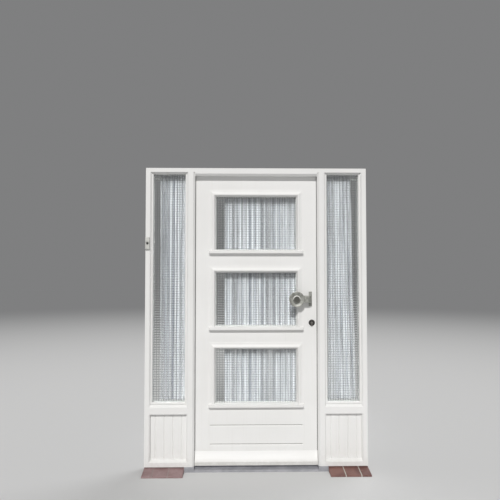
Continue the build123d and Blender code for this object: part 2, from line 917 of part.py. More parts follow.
# Long plate on the inside, with a collar hole for the lever and one for the cylinder
plate_middle = (lock_height + follower_height) / 2
with BuildPart() as handle_plate:
    with BuildSketch(facing_plane(leaf_back)):
        with Locations((lock_x, plate_middle)):
            RectangleRounded(plate_width, plate_height, plate_width / 4)
    extrude(amount=-plate_thickness)
    chamfer(handle_plate.faces().sort_by(Axis.Y)[-1].edges(), length=plate_thickness / 3)
    cylinder_hole(leaf_back - cut_past, inner_plate_face + cut_past)
    spindle_hole(leaf_back - cut_past, inner_plate_face + cut_past)
save(handle_plate, "handle_plate")

# Lever on the inside: a square spindle and a round bar, bent to run towards the hinges
with BuildPart() as lever:
    lever_root = inner_plate_face + lever_clearance
    bar_y = inner_plate_face + lever_standoff
    bar_end = lock_x - lever_length
    block(
        (lock_x - spindle_size / 2, leaf_back - spindle_length, follower_height - spindle_size / 2),
        (lock_x + spindle_size / 2, lever_root + spindle_size, follower_height + spindle_size / 2),
    )
    with BuildLine(Plane.XY.offset(follower_height)):
        FilletPolyline((lock_x, lever_root), (lock_x, bar_y), (bar_end, bar_y), radius=lever_bend)
    with BuildSketch(facing_plane(lever_root)):
        with Locations((lock_x, follower_height)):
            Circle(lever_radius)
    sweep()
    with Locations((bar_end, bar_y, follower_height)):
        Sphere(lever_radius)
save(lever, "lever")


def moulding_section():
    """The section of a pane moulding at its foot: tongue, bevel, rounded crest, hollow and outer edge."""
    sight = -pane_half
    inner_crest = sight - moulding_bevel
    outer_crest = inner_crest - moulding_crest
    outer = sight - moulding_width
    crest_y = leaf_front - moulding_rise + moulding_crown
    edge_y = leaf_front - moulding_edge
    with BuildLine() as section:
        Polyline(
            (sight - moulding_tongue, leaf_front),
            (sight - moulding_tongue, pane_glass_front),
            (sight, pane_glass_front),
            (sight, pane_glass_front - moulding_land),
            (inner_crest, crest_y),
        )
        ThreePointArc(
            (inner_crest, crest_y),
            ((inner_crest + outer_crest) / 2, leaf_front - moulding_rise),
            (outer_crest, crest_y),
        )
        hollow_start = (outer_crest, crest_y)
        hollow_end = (outer + moulding_fillet, edge_y - moulding_swell)
        hollow_middle = ((hollow_start[0] + hollow_end[0]) / 2,
                         (hollow_start[1] + hollow_end[1]) / 2 + moulding_hollow)
        ThreePointArc(hollow_start, hollow_middle, hollow_end)
        Polyline(
            hollow_end,
            (outer, edge_y),
            (outer, leaf_front),
            (sight - moulding_tongue, leaf_front),
        )
    make_face(section.edges())


def below_sill(pane_low):
    """The outline of everything under the sloping top of a pane's sill."""
    nose_y = leaf_front - sill_projection
    floor = pane_low - pane_spacing / 2
    outline(
        (pane_glass_front, pane_low),
        (nose_y, pane_low - sill_fall),
        (nose_y, floor),
        (pane_glass_front + cut_past, floor),
        (pane_glass_front + cut_past, pane_low),
    )


def pane_sill(pane_low):
    """A projecting sill with a sloping top, a rounded nose and a drip groove underneath."""
    nose_y = leaf_front - sill_projection
    nose_top = pane_low - sill_fall
    nose_low = nose_top - sill_nose
    face_top = pane_low - sill_fall * (leaf_front - pane_glass_front) / (nose_y - pane_glass_front)
    half = pane_half + moulding_width + sill_overhang
    with BuildSketch(lying_plane(-half)) as nosing:
        outline(
            (leaf_front, face_top),
            (nose_y, nose_top),
            (nose_y, nose_low),
            (leaf_front, nose_low),
        )
        with Locations((nose_y + drip_setback, nose_low)):
            Circle(drip_radius, mode=Mode.SUBTRACT)
    extrude(nosing.sketch, amount=2 * half)
    with BuildSketch(lying_plane(-pane_opening_half)) as tongue:
        outline(
            (leaf_front, face_top),
            (pane_glass_front, pane_low),
            (pane_glass_front, pane_low - moulding_tongue),
            (leaf_front, pane_low - moulding_tongue),
        )
    extrude(tongue.sketch, amount=2 * pane_opening_half)


for number, name in enumerate(pane_names):
    pane_low, pane_high = pane_limits(number)

    # Moulding: mitred round the sides and top of the pane, and cut to stand on the sill
    with BuildPart() as pane_moulding:
        with BuildLine():
            Polyline(
                (-pane_half, leaf_front, pane_low - sill_fall),
                (-pane_half, leaf_front, pane_high),
                (pane_half, leaf_front, pane_high),
                (pane_half, leaf_front, pane_low - sill_fall),
            )
        with BuildSketch(Plane.XY.offset(pane_low - sill_fall)):
            moulding_section()
        sweep(transition=Transition.RIGHT)
        with BuildSketch(lying_plane(-leaf_half)):
            below_sill(pane_low)
        extrude(amount=leaf_width, mode=Mode.SUBTRACT)
    save(pane_moulding, f"pane_moulding_{name}")

    # Sill under the pane
    with BuildPart() as sill:
        pane_sill(pane_low)
        nose_corners = sill.edges().filter_by(Axis.Z).group_by(Axis.Y)[0]
        chamfer(nose_corners, length=sill_end_chamfer)
    save(sill, f"pane_sill_{name}")

    # Glass of the pane
    with BuildPart() as pane_glass:
        block(
            (-pane_opening_half + glass_clearance, pane_glass_front, pane_low - moulding_tongue + glass_clearance),
            (pane_opening_half - glass_clearance, pane_glass_back, pane_high + moulding_tongue - glass_clearance),
        )
    save(pane_glass, f"pane_glass_{name}")

    # Beads that hold the glass from the inside
    with BuildPart() as inner_beads:
        bead_ring(
            0, pane_glass_back, leaf_back - pane_glass_back, pane_low - moulding_tongue,
            pane_high + moulding_tongue, pane_opening_half,
            (inner_bead_width, inner_bead_width, inner_bead_width), inner_bead_bevel, False,
        )
    save(inner_beads, f"inner_beads_{name}")

# Weather bar: a hollow slope across the foot of the leaf that throws water onto the threshold's tread
with BuildPart() as weather_bar:
    bar_half = stop_half - weather_bar_clearance
    bar_nose = leaf_front - weather_bar_projection
    bar_low = leaf_bottom - weather_bar_drop
    bar_top = bar_low + weather_bar_height
    with BuildSketch(lying_plane(-bar_half)):
        with BuildLine():
            nose_top = (bar_nose + weather_bar_round, bar_low + weather_bar_nose)
            lip = (leaf_front - weather_bar_lip, bar_top)
            hollow = ((lip[0] + nose_top[0]) / 2 + weather_bar_hollow, (lip[1] + nose_top[1]) / 2)
            Polyline(
                nose_top,
                (bar_nose, bar_low + weather_bar_nose - weather_bar_round),
                (bar_nose + weather_bar_undercut, bar_low),
                (leaf_front, bar_low),
                (leaf_front, bar_top),
                lip,
            )
            ThreePointArc(lip, hollow, nose_top)
        make_face()
        with Locations((bar_nose + drip_setback, bar_low)):
            Circle(drip_radius, mode=Mode.SUBTRACT)
    extrude(amount=2 * bar_half)
save(weather_bar, "weather_bar")

# Knob plate: a narrow plate with rounded sides, and a flat land on which the knob's arm stands
knob_plate_x = leaf_half - knob_plate_inset
knob_plate_z = lock_height + knob_plate_rise
plate_face = leaf_front - knob_plate_thickness
with BuildPart() as knob_plate:
    with BuildSketch(Plane.XY.offset(knob_plate_z - knob_plate_height / 2)):
        with BuildLine():
            Line((knob_plate_x - arm_thickness / 2, plate_face), (knob_plate_x + arm_thickness / 2, plate_face))
            for sign in (-1, 1):
                land = (knob_plate_x + sign * arm_thickness / 2, plate_face)
                edge = (knob_plate_x + sign * knob_plate_width / 2, leaf_front - knob_plate_edge)
                rounding = ((land[0] + edge[0]) / 2 + sign * knob_plate_swell,
                            (land[1] + edge[1]) / 2 - knob_plate_swell)
                ThreePointArc(land, rounding, edge)
                Polyline(edge, (edge[0], leaf_front), (knob_plate_x, leaf_front))
        make_face()
    extrude(amount=knob_plate_height)
save(knob_plate, "knob_plate")

# Screws of the knob plate
with BuildPart() as knob_screws:
    for sign in (-1, 1):
        screw_z = knob_plate_z + sign * knob_screw_offset
        with BuildSketch(facing_plane(plate_face)):
            with Locations((knob_plate_x, screw_z)):
                Circle(knob_screw_radius)
        extrude(amount=knob_screw_head)
        with BuildSketch(facing_plane(plate_face - knob_screw_head)):
            with Locations((knob_plate_x, screw_z)):
                Rectangle(2 * knob_screw_radius - knob_screw_slot, knob_screw_slot)
        extrude(amount=-knob_screw_head / 2, mode=Mode.SUBTRACT)
save(knob_screws, "knob_screws")

# Knob: a dished disc with a raised middle, on a cranked arm that carries it across the glass edge
knob_x = knob_plate_x - knob_reach
knob_z = knob_plate_z + knob_rise
knob_back = leaf_front - knob_standoff
knob_front = knob_back - knob_thickness
arm_back = knob_back + arm_thickness
with BuildPart() as pull_knob:
    with BuildSketch(lying_plane(knob_x)):
        with BuildLine():
            rim_back = (knob_back - knob_rim_back, knob_z + knob_radius - knob_rim_width)
            rim_front = (knob_back - knob_rim_front, knob_z + knob_radius - knob_rim_width)
            rim_middle = ((rim_back[0] + rim_front[0]) / 2, knob_z + knob_radius)
            hub = (knob_back, knob_z + knob_hub_radius)
            dish = (knob_front + knob_dish_depth, knob_z + knob_boss_foot)
            boss = (knob_front, knob_z + knob_boss_top)
            Polyline((arm_back, knob_z), (arm_back, knob_z + knob_hub_radius), hub, rim_back)
            ThreePointArc(rim_back, rim_middle, rim_front)
            ThreePointArc(
                rim_front,
                ((rim_front[0] + dish[0]) / 2 + knob_dish_hollow, (rim_front[1] + dish[1]) / 2),
                dish,
            )
            ThreePointArc(
                dish,
                ((dish[0] + boss[0]) / 2 - knob_boss_round, (dish[1] + boss[1]) / 2 + knob_boss_round),
                boss,
            )
            Polyline(boss, (knob_front, knob_z), (arm_back, knob_z))
        make_face()
    revolve(axis=Axis((knob_x, 0, knob_z), (0, 1, 0)))
    arm_y = knob_back + arm_thickness / 2
    with BuildLine(Plane.XY.offset(knob_z)):
        FilletPolyline((knob_plate_x, plate_face), (knob_plate_x, arm_y), (knob_x, arm_y), radius=arm_bend)
    with BuildSketch(facing_plane(plate_face)):
        with Locations((knob_plate_x, knob_z)):
            RectangleRounded(arm_thickness, arm_height, arm_edge_radius)
    sweep()
save(pull_knob, "pull_knob")

# Bell push: a small box on the left jamb with a round well, and its button
bell_x = -(frame_half + bay_outer + bay_chamfer) / 2
with BuildPart() as bell_box:
    with BuildSketch(facing_plane(0)):
        with Locations((bell_x, bell_z)):
            Rectangle(bell_width, bell_height)
    extrude(amount=bell_depth)
    chamfer(bell_box.faces().sort_by(Axis.Y)[0].edges(), length=bell_edge)
    with BuildSketch(facing_plane(-bell_depth)):
        with Locations((bell_x, bell_z)):
            Circle(bell_well_radius)
    extrude(amount=-bell_well_depth, mode=Mode.SUBTRACT)
    with BuildSketch(facing_plane(-bell_depth)):
        with Locations((bell_x, bell_z)):
            Circle(bell_button_radius + bell_button_clearance)
    extrude(amount=-(bell_button_length + bell_button_travel + bell_hole_clearance), mode=Mode.SUBTRACT)
save(bell_box, "bell_box")

with BuildPart() as bell_button:
    with BuildSketch(facing_plane(-bell_depth)):
        with Locations((bell_x, bell_z)):
            Circle(bell_button_radius)
    extrude(amount=-bell_button_length)
    fillet(bell_button.faces().sort_by(Axis.Y)[0].edges(), radius=bell_button_round)
save(bell_button, "bell_button")


def curtain_line(x_low, x_high, y, offset):
    """Points of a gathered curtain's fold line: a wave whose depth changes along the rod."""
    count = max(1, round((x_high - x_low) / curtain_wave)) * curtain_steps
    points = []
    for number in range(count + 1):
        share = number / count
        phase = 2 * math.pi * number / curtain_steps
        depth = curtain_fold * (1 - curtain_slack + curtain_slack * math.sin(2 * math.pi * curtain_beats * share))
        points.append((x_low + (x_high - x_low) * share, y + offset + depth * math.sin(phase)))
    return points


def curtain(x_low, x_high, y, low, high):
    """A gathered curtain that hangs in even folds, the same from top to bottom."""
    front = curtain_line(x_low, x_high, y, -curtain_thickness / 2)
    back = curtain_line(x_low, x_high, y, curtain_thickness / 2)
    with BuildSketch(Plane.XY.offset(low)) as folds:
        outline(*front, *reversed(back))
    extrude(folds.sketch, amount=high - low)


def rod(x_low, x_high, y, z):
    """A round curtain rod along X."""
    with BuildSketch(lying_plane(x_low)) as section:
        with Locations((y, z)):
            Circle(rod_radius)
    extrude(section.sketch, amount=x_high - x_low)


# Curtains of the bays, each on a rod clamped between the posts
bay_rod_y = frame_depth - bay_rod_setback
bay_rod_z = bay_sight_head - bay_rod_drop
bay_curtain_top = bay_rod_z - rod_radius - soft_clearance
for side, s in sides:
    with BuildPart() as bay_rod:
        if s > 0:
            rod(bay_sight_inner, bay_sight_outer, bay_rod_y, bay_rod_z)
        else:
            rod(-bay_sight_outer, -bay_sight_inner, bay_rod_y, bay_rod_z)
    save(bay_rod, f"bay_rod_{side}")

    with BuildPart() as bay_curtain:
        curtain_inner = bay_sight_inner + bay_curtain_gap
        curtain_near = s * curtain_inner
        curtain_far = s * (curtain_inner + bay_curtain_width)
        curtain(min(curtain_near, curtain_far), max(curtain_near, curtain_far), bay_rod_y,
                bay_sight_bottom + bay_curtain_floor, bay_curtain_top)
    save(bay_curtain, f"bay_curtain_{side}")

# Curtain of the leaf, on a rod with a bracket at each end
leaf_curtain_left = leaf_curtain_gap - pane_half
leaf_curtain_right = pane_half + leaf_curtain_overlap
leaf_rod_height = leaf_top - leaf_rod_drop
leaf_rod_y = leaf_back + leaf_rod_standoff
rod_ends = (leaf_curtain_left - rod_overhang, leaf_curtain_right + rod_overhang)
with BuildPart() as leaf_rod:
    rod(*rod_ends, leaf_rod_y, leaf_rod_height)
    for bracket_x in rod_ends:
        with BuildSketch(facing_plane(leaf_back)):
            with Locations((bracket_x, leaf_rod_height)):
                Circle(bracket_radius)
        extrude(amount=-(leaf_rod_standoff + rod_radius + bracket_lip))
save(leaf_rod, "leaf_rod")

with BuildPart() as leaf_curtain:
    curtain(leaf_curtain_left, leaf_curtain_right, leaf_rod_y, first_pane_bottom - leaf_curtain_drop,
            leaf_rod_height - rod_radius - soft_clearance)
save(leaf_curtain, "leaf_curtain")
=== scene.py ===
"""Panelled front door in its frame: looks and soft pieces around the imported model.

This adds the finishes, the patterned glass, the net curtains and the small screws.
Metres; X runs across the door, Y from the outside to the inside, Z up.
"""

from math import pi, radians

import bpy
import numpy as np
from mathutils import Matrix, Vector


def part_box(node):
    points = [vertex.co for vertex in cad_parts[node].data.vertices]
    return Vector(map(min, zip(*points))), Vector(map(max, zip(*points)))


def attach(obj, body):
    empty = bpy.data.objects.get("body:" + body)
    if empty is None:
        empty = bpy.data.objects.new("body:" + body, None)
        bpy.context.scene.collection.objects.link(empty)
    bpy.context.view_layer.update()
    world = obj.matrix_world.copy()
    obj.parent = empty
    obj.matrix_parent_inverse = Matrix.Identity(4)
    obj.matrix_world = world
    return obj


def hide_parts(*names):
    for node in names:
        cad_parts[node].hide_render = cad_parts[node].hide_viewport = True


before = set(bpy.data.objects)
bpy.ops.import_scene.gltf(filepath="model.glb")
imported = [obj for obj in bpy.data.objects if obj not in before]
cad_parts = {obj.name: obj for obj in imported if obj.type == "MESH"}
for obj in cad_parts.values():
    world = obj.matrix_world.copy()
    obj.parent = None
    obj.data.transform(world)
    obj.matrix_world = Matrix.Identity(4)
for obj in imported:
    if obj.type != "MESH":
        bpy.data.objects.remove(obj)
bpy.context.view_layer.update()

SIDES = ("left", "right")
PANES = ("lower", "middle", "upper")


# Camera and light
EYE = (-0.113, -3.585, 1.390)
LOOK_UP, LOOK_ASIDE = radians(92.0), radians(-1.1)
SENSOR_WIDTH, LENS = 36.0, 37.22
FARTHEST_SEEN = 200.0
ROOM_GREY, ROOM_LEVEL = (0.985, 0.99, 1.0, 1.0), 0.215


def place(name, data):
    """Puts a new object into the scene."""
    placed = bpy.data.objects.new(name, data)
    bpy.context.scene.collection.objects.link(placed)
    return placed


def add_camera():
    """The photograph's view: at eye height, a little left of the middle, looking slightly up."""
    camera = bpy.data.cameras.new("door_camera")
    camera.sensor_width = SENSOR_WIDTH
    camera.lens = LENS
    camera.clip_end = FARTHEST_SEEN
    placed = place("door_camera", camera)
    placed.location = EYE
    placed.rotation_euler = (LOOK_UP, 0.0, LOOK_ASIDE)
    bpy.context.scene.camera = placed


def add_lamp(name, strength, degrees_wide, direction, colour):
    """A far lamp whose light travels along direction."""
    lamp = bpy.data.lights.new(name, "SUN")
    lamp.energy = strength
    lamp.angle = radians(degrees_wide)
    lamp.color = colour
    placed = place(name, lamp)
    placed.rotation_euler = Vector(direction).to_track_quat("-Z", "Y").to_euler()


def add_room():
    """An even light-grey room all round, which is also the backdrop."""
    world = bpy.data.worlds.new("studio")
    world.use_nodes = True
    bpy.context.scene.world = world
    room = world.node_tree.nodes["Background"]
    room.inputs["Color"].default_value = ROOM_GREY
    room.inputs["Strength"].default_value = ROOM_LEVEL


add_camera()
add_room()
add_lamp("key", strength=2.26, degrees_wide=4.0,
         direction=(0.12, 1.0, -0.80), colour=(1.0, 0.99, 0.972))
add_lamp("back_fill", strength=1.00, degrees_wide=40.0,
         direction=(-1.0, -1.0, -1.2), colour=(0.98, 0.99, 1.0))
bpy.context.scene.view_settings.view_transform = "Standard"


# Finishes
class Finish:
    """One node material: a Principled shader and the patterns that feed it.

    The patterns read Object coordinates, or the piece's own map where they follow the cloth
    or the squares of the glass.
    """

    def __init__(self, name, roughness=0.5, metallic=0.0, **sockets):
        self.material = bpy.data.materials.new(name)
        self.material.use_nodes = True
        tree = self.material.node_tree
        self.nodes, self.links = tree.nodes, tree.links
        self.nodes.clear()
        self.output = self.node("OutputMaterial")
        self.shader = self.node("BsdfPrincipled")
        self.links.new(self.shader.outputs[0], self.output.inputs["Surface"])
        self.shader.inputs["Roughness"].default_value = roughness
        self.shader.inputs["Metallic"].default_value = metallic
        for socket, value in sockets.items():
            self.shader.inputs[socket.replace("_", " ")].default_value = value
        self.where = self.node("TexCoord").outputs["Object"]

    def node(self, kind):
        """A new shader node."""
        return self.nodes.new(f"ShaderNode{kind}")

    def feed(self, socket, value):
        """Puts a number, a colour or another node's output into a socket."""
        if isinstance(value, bpy.types.NodeSocket):
            self.links.new(value, socket)
        elif isinstance(value, (int, float)):
            socket.default_value = value
        else:
            socket.default_value = (*value, 1.0)[:4] if socket.type == "RGBA" else value

    def shade(self, socket, value):
        """Feeds one of the shader's own sockets."""
        self.feed(self.shader.inputs[socket], value)

    def stretched(self, scale, move=(0.0, 0.0, 0.0), along=None):
        """Coordinates times scale, then moved."""
        mapping = self.node("Mapping")
        mapping.inputs["Scale"].default_value = scale
        mapping.inputs["Location"].default_value = move
        self.links.new(self.where if along is None else along, mapping.inputs["Vector"])
        return mapping.outputs[0]

    def own_map(self, name):
        """The piece's own map of that name."""
        node = self.node("UVMap")
        node.uv_map = name
        return node.outputs[0]

    def attribute(self, name):
        """A number that the mesh holds at each of its points."""
        node = self.node("Attribute")
        node.attribute_name = name
        return node.outputs["Fac"]

    def parts(self, vector):
        """X, Y and Z of a vector."""
        split = self.node("SeparateXYZ")
        self.links.new(vector, split.inputs[0])
        return tuple(split.outputs)

    def noise(self, scale, detail, rough, along=None):
        """A cloudy pattern from 0 to 1."""
        node = self.node("TexNoise")
        node.inputs["Scale"].default_value = scale
        node.inputs["Detail"].default_value = detail
        node.inputs["Roughness"].default_value = rough
        self.links.new(self.where if along is None else along, node.inputs["Vector"])
        return node.outputs[0]

    def cells(self, scale):
        """The distance to the nearest of scattered points."""
        node = self.node("TexVoronoi")
        node.inputs["Scale"].default_value = scale
        self.links.new(self.where, node.inputs["Vector"])
        return node.outputs["Distance"]

    def math(self, operation, *values):
        """One step of arithmetic on numbers and other nodes' outputs."""
        node = self.node("Math")
        node.operation = operation
        for socket, value in zip(node.inputs, values):
            self.feed(socket, value)
        return node.outputs[0]

    def times(self, first, second):
        """The product of two values."""
        return self.math("MULTIPLY", first, second)

    def scaled(self, value, factor, start):
        """Start plus factor times the value."""
        return self.math("MULTIPLY_ADD", value, factor, start)

    def remap(self, value, low, high, to_low=0.0, to_high=1.0):
        """Runs a value from low..high to to_low..to_high, smoothly, and holds it there."""
        node = self.node("MapRange")
        node.interpolation_type = "SMOOTHSTEP"
        self.feed(node.inputs["Value"], value)
        ends = {"From Min": low, "From Max": high, "To Min": to_low, "To Max": to_high}
        for socket, number in ends.items():
            node.inputs[socket].default_value = number
        return node.outputs[0]

    def fade(self, value, low, high):
        """1 up to low and 0 from high on."""
        return self.remap(value, low, high, 1.0, 0.0)

    def blend(self, share, first, second):
        """The first colour, and the second where share is 1."""
        node = self.node("Mix")
        node.data_type = "RGBA"
        self.feed(node.inputs[0], share)
        self.feed(node.inputs[6], first)
        self.feed(node.inputs[7], second)
        return node.outputs[2]

    def colour(self, value):
        """Feeds the base colour."""
        self.shade("Base Color", value)

    def roughness(self, value):
        """Feeds the roughness."""
        self.shade("Roughness", value)

    def bump(self, height, distance, strength):
        """Feeds fine relief, up to distance high, to the normal."""
        node = self.node("Bump")
        node.inputs["Distance"].default_value = distance
        node.inputs["Strength"].default_value = strength
        self.feed(node.inputs["Height"], height)
        self.shade("Normal", node.outputs[0])


# The grain of a finish: how tightly its marks follow each other along X, Y and Z
UPRIGHT, LEVEL, BEADED = (95.0, 95.0, 2.2), (2.2, 95.0, 95.0), (30.0, 120.0, 30.0)
DRAWN, TURNED, RUBBED = (60.0, 60.0, 1400.0), (900.0, 60.0, 900.0), (60.0, 900.0, 900.0)

WARM, WARM_DEEP = (0.876, 0.873, 0.864), (0.850, 0.846, 0.835)
BEAD, BEAD_DEEP = (0.880, 0.877, 0.866), (0.858, 0.854, 0.842)
WORN_WHITE, DUST_AND_SHADE = (0.70, 0.69, 0.65), (0.46, 0.44, 0.38)
SATIN = 0.44


def paint(name, grain, light=WARM, deep=WARM_DEEP, shine=SATIN, dust_and_shade=0.16, dusty=(0.02, 0.20)):
    """Satin paint on timber: brush marks along the grain and clouds of tone.

    Near the ground it is greyer: all of it up to the first height of dusty, and none from the
    second on.
    On most pieces this is dusted; on the weather bar's nose it is partly dusted and partly
    painted shade.
    """
    finish = Finish(name)
    strokes = finish.noise(1.0, 4.0, 0.6, finish.stretched(grain))
    clouds = finish.noise(2.6, 3.0, 0.5)
    tone = finish.blend(finish.remap(clouds, 0.35, 0.68), light, deep)
    tone = finish.blend(finish.remap(strokes, 0.52, 0.8, 0.0, 0.16), tone, WORN_WHITE)
    height = finish.parts(finish.where)[2]
    patchy = finish.remap(finish.noise(34.0, 5.0, 0.7), 0.45 - dust_and_shade, 0.72)
    dusted_and_shaded = finish.times(finish.fade(height, *dusty), patchy)
    # greyer near the ground: dusted, and on the weather bar's nose also painted shade
    finish.colour(finish.blend(finish.times(dusted_and_shaded, dust_and_shade), tone, DUST_AND_SHADE))
    finish.roughness(finish.scaled(strokes, 0.16, shine))
    finish.bump(strokes, 0.00022, 0.55)
    return finish


# The painted shade along the leaf's two grooves, a fine dark line at the bottom of each: its
# heights, the depth where it begins, and half its width
GROOVES, GROOVE_ROOT, GROOVE_SHADE_HALF_WIDTH = (0.167, 0.297), 0.0548, 0.0011
GROOVE_SHADE_COLOUR = (0.16, 0.155, 0.14)


def leaf_paint():
    """The upright paint, with a painted shade: a fine dark line along the root of each of the
    leaf's grooves.
    """
    finish = paint("satin_paint_leaf", UPRIGHT)
    _, y, z = finish.parts(finish.where)
    shade_lines = [finish.math("COMPARE", z, height, GROOVE_SHADE_HALF_WIDTH) for height in GROOVES]
    deep = finish.math("GREATER_THAN", y, GROOVE_ROOT)
    root = finish.times(finish.math("MAXIMUM", *shade_lines), deep)
    painted = finish.shader.inputs["Base Color"].links[0].from_socket
    # painted shade: the root of each groove is darkened
    finish.colour(finish.blend(root, painted, GROOVE_SHADE_COLOUR))
    return finish


def glass_finish():
    """Pale green-grey glass, greyer and less clear in the valleys between its squares, a painted
    glint of the squares' edges; lamps shine through it.

    On the map each square is 1 wide, so the distance to the nearest valley runs up to 0.5.
    """
    finish = Finish("glass_small_squares", roughness=0.06, IOR=1.5)
    across, up, _ = finish.parts(finish.own_map("squares"))
    from_valley = [finish.math("PINGPONG", way, 0.5) for way in (across, up)]
    valley = finish.fade(finish.math("MINIMUM", *from_valley), 0.07, 0.20)
    # painted glint: the valleys are greyer and pass less light, standing in for light caught on
    # the squares' edges
    finish.colour(finish.blend(valley, (0.84, 0.85, 0.85), (0.38, 0.40, 0.39)))
    finish.shade("Transmission Weight", finish.scaled(valley, -0.17, 0.985))
    through = finish.node("BsdfTransparent")
    through.inputs["Color"].default_value = (0.90, 0.92, 0.92, 1.0)
    path = finish.node("LightPath")
    either = finish.node("MixShader")
    finish.links.new(path.outputs["Is Shadow Ray"], either.inputs[0])
    finish.links.new(finish.shader.outputs[0], either.inputs[1])
    finish.links.new(through.outputs[0], either.inputs[2])
    finish.links.new(either.outputs[0], finish.output.inputs["Surface"])
    return finish


def stone_finish():
    """Blue-grey cast stone: fine grit, soft clouds and paler worn patches."""
    finish = Finish("cast_stone")
    clouds = finish.noise(9.0, 5.0, 0.6)
    grit = finish.noise(420.0, 3.0, 0.7)
    worn = finish.remap(clouds, 0.35, 0.66)
    tone = finish.blend(worn, (0.30, 0.305, 0.33), (0.41, 0.41, 0.44))
    tone = finish.blend(finish.remap(grit, 0.58, 0.72, 0.0, 0.5), tone, (0.50, 0.50, 0.52))
    tone = finish.blend(finish.remap(grit, 0.42, 0.30, 0.0, 0.5), tone, (0.13, 0.13, 0.15))
    finish.colour(tone)
    finish.roughness(finish.scaled(clouds, 0.25, 0.55))
    finish.bump(grit, 0.0006, 0.5)
    return finish


def tile_finish(name, dark, light, pale):
    """Clay: each tile fired a little differently, mottled, with open pores and paler specks."""
    finish = Finish(name)
    mottle = finish.noise(38.0, 5.0, 0.65)
    kiln = finish.noise(6.5, 1.0, 0.4)
    pores = finish.cells(310.0)
    tone = finish.blend(finish.remap(kiln, 0.35, 0.65), dark, light)
    tone = finish.blend(finish.remap(mottle, 0.5, 0.75, 0.0, 0.5), tone, pale)
    tone = finish.blend(finish.remap(mottle, 0.42, 0.25, 0.0, 0.6), tone, (0.10, 0.05, 0.05))
    finish.colour(tone)
    finish.roughness(finish.scaled(mottle, 0.3, 0.42))
    finish.bump(finish.math("ADD", finish.remap(pores, 0.0, 0.22), mottle), 0.0005, 0.5)
    return finish


def mortar_finish(name, dark, light):
    """Sandy pointing."""
    finish = Finish(name, roughness=0.9)
    sand = finish.noise(650.0, 3.0, 0.7)
    finish.colour(finish.blend(finish.remap(sand, 0.35, 0.65), dark, light))
    finish.bump(sand, 0.0008, 0.7)
    return finish


def rubber_finish():
    """Black extruded rubber with a dusty bloom."""
    finish = Finish("black_rubber")
    bloom = finish.noise(60.0, 4.0, 0.6)
    dusty = finish.remap(bloom, 0.4, 0.8)
    finish.colour(finish.blend(dusty, (0.018, 0.018, 0.018), (0.06, 0.06, 0.058)))
    finish.roughness(finish.scaled(bloom, 0.25, 0.5))
    finish.bump(bloom, 0.0003, 0.4)
    return finish


def metal(name, light, dark, rough, grain, stain=(0.2, 0.2, 0.18), stained=0.25, metallic=1.0):
    """Brushed metal: fine lines along the grain, clouds of tone, and small dull stains."""
    finish = Finish(name, metallic=metallic)
    lines = finish.noise(1.0, 3.0, 0.7, finish.stretched(grain))
    clouds = finish.noise(34.0, 4.0, 0.6)
    tone = finish.blend(finish.remap(clouds, 0.3, 0.7), dark, light)
    spots = finish.remap(finish.noise(170.0, 4.0, 0.7), 0.6, 0.75, 0.0, stained)
    finish.colour(finish.blend(spots, tone, stain))
    finish.roughness(finish.scaled(lines, 0.22, rough))
    finish.bump(lines, 0.00006, 0.5)
    return finish


# The knob's painted light, each mark with the two distances between which it changes: the radii
# from the knob's axis and depths behind its face of the painted dark reflection and of the ring,
# then heights over its axis for the ring's painted highlight and painted shadow
DARK_REFLECTION_EDGE, DARK_REFLECTION_DEPTH = (0.0195, 0.0210), (0.0012, 0.0020)
RING_INSIDE, RING_OUTSIDE, RING_DEPTH = (0.0205, 0.0220), (0.0252, 0.0275), (0.0095, 0.0115)
HIGHLIGHT_ABOVE, SHADOW_BELOW = (-0.004, 0.012), (0.002, -0.010)


def knob_finish():
    """Dulled aluminium, greener and greyer than the steel.

    The raised middle's face has a painted dark reflection. The ring round it has a painted
    highlight above and a painted shadow below.
    """
    low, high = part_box("pull_knob")
    radius = (high.z - low.z) / 2
    finish = Finish("knob_metal")
    lines = finish.noise(1.0, 3.0, 0.7, finish.stretched(RUBBED))
    clouds = finish.noise(42.0, 4.0, 0.65)
    spots = finish.remap(finish.noise(130.0, 4.0, 0.7), 0.50, 0.68, 0.0, 0.6)
    mottled = finish.remap(clouds, 0.36, 0.64)
    tone = finish.blend(mottled, (0.31, 0.315, 0.287), (0.50, 0.505, 0.472))
    tone = finish.blend(spots, tone, (0.20, 0.20, 0.175))

    to_axis = (-low.x - radius, -low.y, -(low.z + high.z) / 2)
    x, y, z = finish.parts(finish.stretched((1.0, 1.0, 1.0), to_axis))
    away = finish.math("SQRT", finish.math("ADD", finish.times(x, x), finish.times(z, z)))
    # painted dark reflection on the raised middle's face
    dark_reflection = finish.times(finish.fade(away, *DARK_REFLECTION_EDGE), finish.fade(y, *DARK_REFLECTION_DEPTH))
    ring = finish.times(finish.remap(away, *RING_INSIDE), finish.fade(away, *RING_OUTSIDE))
    ring = finish.times(ring, finish.fade(y, *RING_DEPTH))
    # painted highlight on the ring's top and painted shadow on its bottom
    painted_highlight = finish.times(ring, finish.remap(z, *HIGHLIGHT_ABOVE))
    painted_shadow = finish.times(ring, finish.remap(z, *SHADOW_BELOW))
    tone = finish.blend(painted_highlight, tone, (0.86, 0.86, 0.83))
    tone = finish.blend(finish.times(painted_shadow, 0.75), tone, (0.15, 0.15, 0.13))
    finish.colour(finish.blend(dark_reflection, tone, (0.125, 0.124, 0.11)))
    # where the highlight is painted, the metal is made less metallic
    finish.shade("Metallic", finish.scaled(painted_highlight, -0.45, 0.70))
    finish.roughness(finish.scaled(clouds, 0.20, 0.48))
    finish.bump(finish.math("ADD", lines, spots), 0.00012, 0.6)
    return finish


